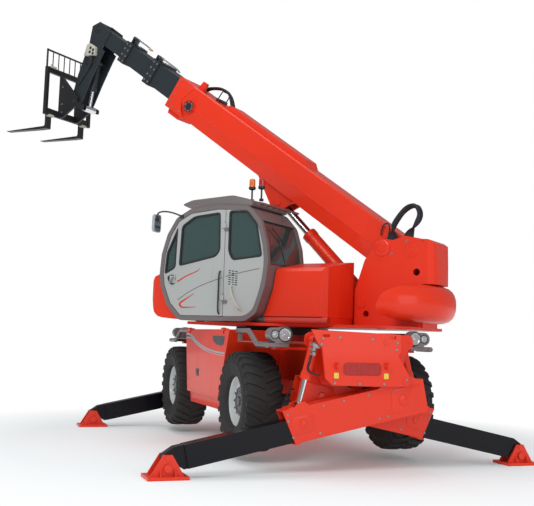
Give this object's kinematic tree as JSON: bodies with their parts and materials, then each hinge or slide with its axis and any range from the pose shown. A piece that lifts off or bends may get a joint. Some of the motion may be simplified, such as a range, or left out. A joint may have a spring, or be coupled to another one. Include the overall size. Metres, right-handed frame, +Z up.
{
  "type": "rotating telehandler",
  "caption": "Rotating telehandler on crossing stabilisers, with a telescopic boom, gooseneck, pallet forks and a side cab on a slewing turret.",
  "frame": {"origin": "slew axis at ground level, in the plane of the stabiliser soles", "axes": "+X to the chassis front, +Y to its left, +Z up"},
  "size_m": [7.3197, 6.1658, 6.6484],
  "materials": {
    "black_steel": "satin",
    "cab_trim": "matte",
    "cast_grey": "matte",
    "chrome_rod": "polished",
    "door_grey": "gloss",
    "frame_grey": "satin",
    "lamp_glass": "gloss",
    "leg_paint": "satin",
    "red_paint": "gloss",
    "rim_silver": "satin",
    "slate_paint": "satin",
    "tinted_glass": "gloss",
    "tyre_rubber": "matte"
  },
  "bodies": {
    "chassis": {"chassis_frame": "red_paint", "slew_ring": "cast_grey", "front_axle": "cast_grey", "rear_axle": "cast_grey", "engine_block": "cast_grey", "engine_housing": "red_paint", "tank_box": "red_paint", "lamp_rails": "frame_grey", "headlamps": "lamp_glass"},
    "engine_cover": {"engine_cover": "red_paint"},
    "front_left_knuckle": {"front_left_knuckle": "cast_grey"},
    "front_left_wheel": {"front_left_rim": "rim_silver", "front_left_tyre": "tyre_rubber"},
    "front_right_knuckle": {"front_right_knuckle": "cast_grey"},
    "front_right_wheel": {"front_right_rim": "rim_silver", "front_right_tyre": "tyre_rubber"},
    "rear_left_knuckle": {"rear_left_knuckle": "cast_grey"},
    "rear_left_wheel": {"rear_left_rim": "rim_silver", "rear_left_tyre": "tyre_rubber"},
    "rear_right_knuckle": {"rear_right_knuckle": "cast_grey"},
    "rear_right_wheel": {"rear_right_rim": "rim_silver", "rear_right_tyre": "tyre_rubber"},
    "front_right_arm": {"front_right_arm": "red_paint"},
    "front_right_leg": {"front_right_leg": "leg_paint"},
    "front_right_foot": {"front_right_foot": "red_paint"},
    "front_right_jack_barrel": {"front_right_jack_barrel": "red_paint"},
    "front_right_jack_rod": {"front_right_jack_rod": "chrome_rod"},
    "front_left_arm": {"front_left_arm": "red_paint"},
    "front_left_leg": {"front_left_leg": "leg_paint"},
    "front_left_foot": {"front_left_foot": "red_paint"},
    "front_left_jack_barrel": {"front_left_jack_barrel": "red_paint"},
    "front_left_jack_rod": {"front_left_jack_rod": "chrome_rod"},
    "rear_right_arm": {"rear_right_arm": "red_paint"},
    "rear_right_leg": {"rear_right_leg": "leg_paint"},
    "rear_right_foot": {"rear_right_foot": "red_paint"},
    "rear_right_jack_barrel": {"rear_right_jack_barrel": "red_paint"},
    "rear_right_jack_rod": {"rear_right_jack_rod": "chrome_rod"},
    "rear_left_arm": {"rear_left_arm": "red_paint"},
    "rear_left_leg": {"rear_left_leg": "leg_paint"},
    "rear_left_foot": {"rear_left_foot": "red_paint"},
    "rear_left_jack_barrel": {"rear_left_jack_barrel": "red_paint"},
    "rear_left_jack_rod": {"rear_left_jack_rod": "chrome_rod"},
    "turret": {"turret_frame": "red_paint", "counterweight": "red_paint", "turret_hood": "red_paint", "cab_frame": "frame_grey", "cab_glass": "tinted_glass", "cab_interior": "cab_trim", "roof_fittings": "frame_grey"},
    "cab_door": {"cab_door": "door_grey", "door_glass": "tinted_glass"},
    "boom": {"boom_outer": "red_paint"},
    "boom_second": {"boom_second": "slate_paint"},
    "boom_third": {"boom_third": "slate_paint"},
    "boom_tip": {"boom_tip": "slate_paint"},
    "fork_carriage": {"fork_carriage": "black_steel"},
    "lift_barrel": {"lift_barrel": "red_paint"},
    "lift_rod": {"lift_rod": "chrome_rod"},
    "tilt_barrel": {"tilt_barrel": "slate_paint"},
    "tilt_rod": {"tilt_rod": "chrome_rod"}
  },
  "joints": [
    {"name": "engine_cover_hinge", "type": "hinge", "parent": "chassis", "child": "engine_cover", "pos_m": [0, -1.15, 1.54], "axis": [-1, 0, 0], "range_deg": [0, 85]},
    {"name": "front_left_steer", "type": "hinge", "parent": "chassis", "child": "front_left_knuckle", "pos_m": [1.525, 0.9, 0.69], "axis": [0, 0, 1], "range_deg": [-30, 30]},
    {"name": "front_left_roll", "type": "hinge", "parent": "front_left_knuckle", "child": "front_left_wheel", "pos_m": [1.525, 0.985, 0.69], "axis": [0, 1, 0], "continuous": true},
    {"name": "front_right_steer", "type": "hinge", "parent": "chassis", "child": "front_right_knuckle", "pos_m": [1.525, -0.9, 0.69], "axis": [0, 0, 1], "range_deg": [-30, 30]},
    {"name": "front_right_roll", "type": "hinge", "parent": "front_right_knuckle", "child": "front_right_wheel", "pos_m": [1.525, -0.985, 0.69], "axis": [0, 1, 0], "continuous": true},
    {"name": "rear_left_steer", "type": "hinge", "parent": "chassis", "child": "rear_left_knuckle", "pos_m": [-1.525, 0.9, 0.69], "axis": [0, 0, 1], "range_deg": [-30, 30]},
    {"name": "rear_left_roll", "type": "hinge", "parent": "rear_left_knuckle", "child": "rear_left_wheel", "pos_m": [-1.525, 0.985, 0.69], "axis": [0, 1, 0], "continuous": true},
    {"name": "rear_right_steer", "type": "hinge", "parent": "chassis", "child": "rear_right_knuckle", "pos_m": [-1.525, -0.9, 0.69], "axis": [0, 0, 1], "range_deg": [-30, 30]},
    {"name": "rear_right_roll", "type": "hinge", "parent": "rear_right_knuckle", "child": "rear_right_wheel", "pos_m": [-1.525, -0.985, 0.69], "axis": [0, 1, 0], "continuous": true},
    {"name": "front_right_arm_hinge", "type": "hinge", "parent": "chassis", "child": "front_right_arm", "pos_m": [2.6, 0.42, 1.005], "axis": [1, 0, 0], "range_deg": [-12, 4]},
    {"name": "front_right_leg_slide", "type": "slide", "parent": "front_right_arm", "child": "front_right_leg", "axis": [0, -0.9781, -0.2079], "range_m": [-1, 0.15]},
    {"name": "front_right_foot_tilt", "type": "hinge", "parent": "front_right_leg", "child": "front_right_foot", "pos_m": [2.6, -2.23799, 0.21], "axis": [1, 0, 0], "range_deg": [-15, 15]},
    {"name": "front_right_jack_hinge", "type": "hinge", "parent": "chassis", "child": "front_right_jack_barrel", "pos_m": [2.6, -0.62, 1.45], "axis": [1, 0, 0], "range_deg": [-10.39, 3.8]},
    {"name": "front_right_jack_slide", "type": "slide", "parent": "front_right_jack_barrel", "child": "front_right_jack_rod", "axis": [0, -0.2393, -0.971], "range_m": [-0.23632, 0.08011]},
    {"name": "front_left_arm_hinge", "type": "hinge", "parent": "chassis", "child": "front_left_arm", "pos_m": [2.3, -0.42, 1.005], "axis": [-1, 0, 0], "range_deg": [-12, 4]},
    {"name": "front_left_leg_slide", "type": "slide", "parent": "front_left_arm", "child": "front_left_leg", "axis": [0, 0.9781, -0.2079], "range_m": [-1, 0.15]},
    {"name": "front_left_foot_tilt", "type": "hinge", "parent": "front_left_leg", "child": "front_left_foot", "pos_m": [2.3, 2.23799, 0.21], "axis": [1, 0, 0], "range_deg": [-15, 15]},
    {"name": "front_left_jack_hinge", "type": "hinge", "parent": "chassis", "child": "front_left_jack_barrel", "pos_m": [2.3, 0.62, 1.45], "axis": [-1, 0, 0], "range_deg": [-10.39, 3.8]},
    {"name": "front_left_jack_slide", "type": "slide", "parent": "front_left_jack_barrel", "child": "front_left_jack_rod", "axis": [0, 0.2393, -0.971], "range_m": [-0.23632, 0.08011]},
    {"name": "rear_right_arm_hinge", "type": "hinge", "parent": "chassis", "child": "rear_right_arm", "pos_m": [-2.3, 0.42, 1.005], "axis": [1, 0, 0], "range_deg": [-12, 4]},
    {"name": "rear_right_leg_slide", "type": "slide", "parent": "rear_right_arm", "child": "rear_right_leg", "axis": [0, -0.9781, -0.2079], "range_m": [-1, 0.15]},
    {"name": "rear_right_foot_tilt", "type": "hinge", "parent": "rear_right_leg", "child": "rear_right_foot", "pos_m": [-2.3, -2.23799, 0.21], "axis": [1, 0, 0], "range_deg": [-15, 15]},
    {"name": "rear_right_jack_hinge", "type": "hinge", "parent": "chassis", "child": "rear_right_jack_barrel", "pos_m": [-2.3, -0.62, 1.45], "axis": [1, 0, 0], "range_deg": [-10.39, 3.8]},
    {"name": "rear_right_jack_slide", "type": "slide", "parent": "rear_right_jack_barrel", "child": "rear_right_jack_rod", "axis": [0, -0.2393, -0.971], "range_m": [-0.23632, 0.08011]},
    {"name": "rear_left_arm_hinge", "type": "hinge", "parent": "chassis", "child": "rear_left_arm", "pos_m": [-2.6, -0.42, 1.005], "axis": [-1, 0, 0], "range_deg": [-12, 4]},
    {"name": "rear_left_leg_slide", "type": "slide", "parent": "rear_left_arm", "child": "rear_left_leg", "axis": [0, 0.9781, -0.2079], "range_m": [-1, 0.15]},
    {"name": "rear_left_foot_tilt", "type": "hinge", "parent": "rear_left_leg", "child": "rear_left_foot", "pos_m": [-2.6, 2.23799, 0.21], "axis": [1, 0, 0], "range_deg": [-15, 15]},
    {"name": "rear_left_jack_hinge", "type": "hinge", "parent": "chassis", "child": "rear_left_jack_barrel", "pos_m": [-2.6, 0.62, 1.45], "axis": [-1, 0, 0], "range_deg": [-10.39, 3.8]},
    {"name": "rear_left_jack_slide", "type": "slide", "parent": "rear_left_jack_barrel", "child": "rear_left_jack_rod", "axis": [0, 0.2393, -0.971], "range_m": [-0.23632, 0.08011]},
    {"name": "slew", "type": "hinge", "parent": "chassis", "child": "turret", "pos_m": [0, 0, 1.6], "axis": [0, 0, 1], "continuous": true},
    {"name": "cab_door_hinge", "type": "hinge", "parent": "turret", "child": "cab_door", "pos_m": [0.62262, -1.0909, 0.001], "axis": [0, 0, 1], "range_deg": [0, 100]},
    {"name": "boom_lift", "type": "hinge", "parent": "turret", "child": "boom", "pos_m": [1.27779, 1.02004, 2.657], "axis": [-0.6239, 0.7815, 0], "range_deg": [-38.5, 44.5]},
    {"name": "second_slide", "type": "slide", "parent": "boom", "child": "boom_second", "axis": [-0.6362, -0.5079, 0.5807], "range_m": [-0.45, 3.3]},
    {"name": "third_slide", "type": "slide", "parent": "boom_second", "child": "boom_third", "axis": [-0.6362, -0.5079, 0.5807], "range_m": [-0.45, 3.3]},
    {"name": "tip_slide", "type": "slide", "parent": "boom_third", "child": "boom_tip", "axis": [-0.6362, -0.5079, 0.5807], "range_m": [-0.45, 3.3]},
    {"name": "fork_tilt", "type": "hinge", "parent": "boom_tip", "child": "fork_carriage", "pos_m": [-3.18777, -2.54476, 5.32136], "axis": [-0.6239, 0.7815, 0], "range_deg": [-84, 33]},
    {"name": "lift_barrel_hinge", "type": "hinge", "parent": "turret", "child": "lift_barrel", "pos_m": [1.05505, 0.84224, 1.942], "axis": [-0.6239, 0.7815, 0], "range_deg": [-32.65, 37.66]},
    {"name": "lift_rod_slide", "type": "slide", "parent": "lift_barrel", "child": "lift_rod", "axis": [-0.5479, -0.4374, 0.7131], "range_m": [-0.45541, 0.52607]},
    {"name": "tilt_barrel_hinge", "type": "hinge", "parent": "boom_tip", "child": "tilt_barrel", "pos_m": [-2.94027, -2.34719, 5.99092], "axis": [-0.6239, 0.7815, 0], "range_deg": [-0.66, 0.91]},
    {"name": "tilt_rod_slide", "type": "slide", "parent": "tilt_barrel", "child": "tilt_rod", "axis": [-0.1502, -0.1199, -0.9814], "range_m": [-0.24636, 0.098]}
  ],
  "couplings": [
    {"joint": "front_right_steer", "follows": "front_left_steer", "ratio": 1},
    {"joint": "rear_right_steer", "follows": "rear_left_steer", "ratio": 1},
    {"joint": "front_right_jack_hinge", "follows": "front_right_arm_hinge", "ratio": 0.82387},
    {"joint": "front_right_jack_slide", "follows": "front_right_arm_hinge", "m_per_rad": 1.1188},
    {"joint": "front_left_jack_hinge", "follows": "front_left_arm_hinge", "ratio": 0.82387},
    {"joint": "front_left_jack_slide", "follows": "front_left_arm_hinge", "m_per_rad": 1.1188},
    {"joint": "rear_right_jack_hinge", "follows": "rear_right_arm_hinge", "ratio": 0.82387},
    {"joint": "rear_right_jack_slide", "follows": "rear_right_arm_hinge", "m_per_rad": 1.1188},
    {"joint": "rear_left_jack_hinge", "follows": "rear_left_arm_hinge", "ratio": 0.82387},
    {"joint": "rear_left_jack_slide", "follows": "rear_left_arm_hinge", "m_per_rad": 1.1188},
    {"joint": "third_slide", "follows": "second_slide", "ratio": 1},
    {"joint": "tip_slide", "follows": "second_slide", "ratio": 1},
    {"joint": "lift_barrel_hinge", "follows": "boom_lift", "ratio": 0.83507},
    {"joint": "lift_rod_slide", "follows": "boom_lift", "m_per_rad": 0.67476},
    {"joint": "tilt_barrel_hinge", "follows": "fork_tilt", "ratio": -0.004934},
    {"joint": "tilt_rod_slide", "follows": "fork_tilt", "m_per_rad": 0.16668}
  ]
}
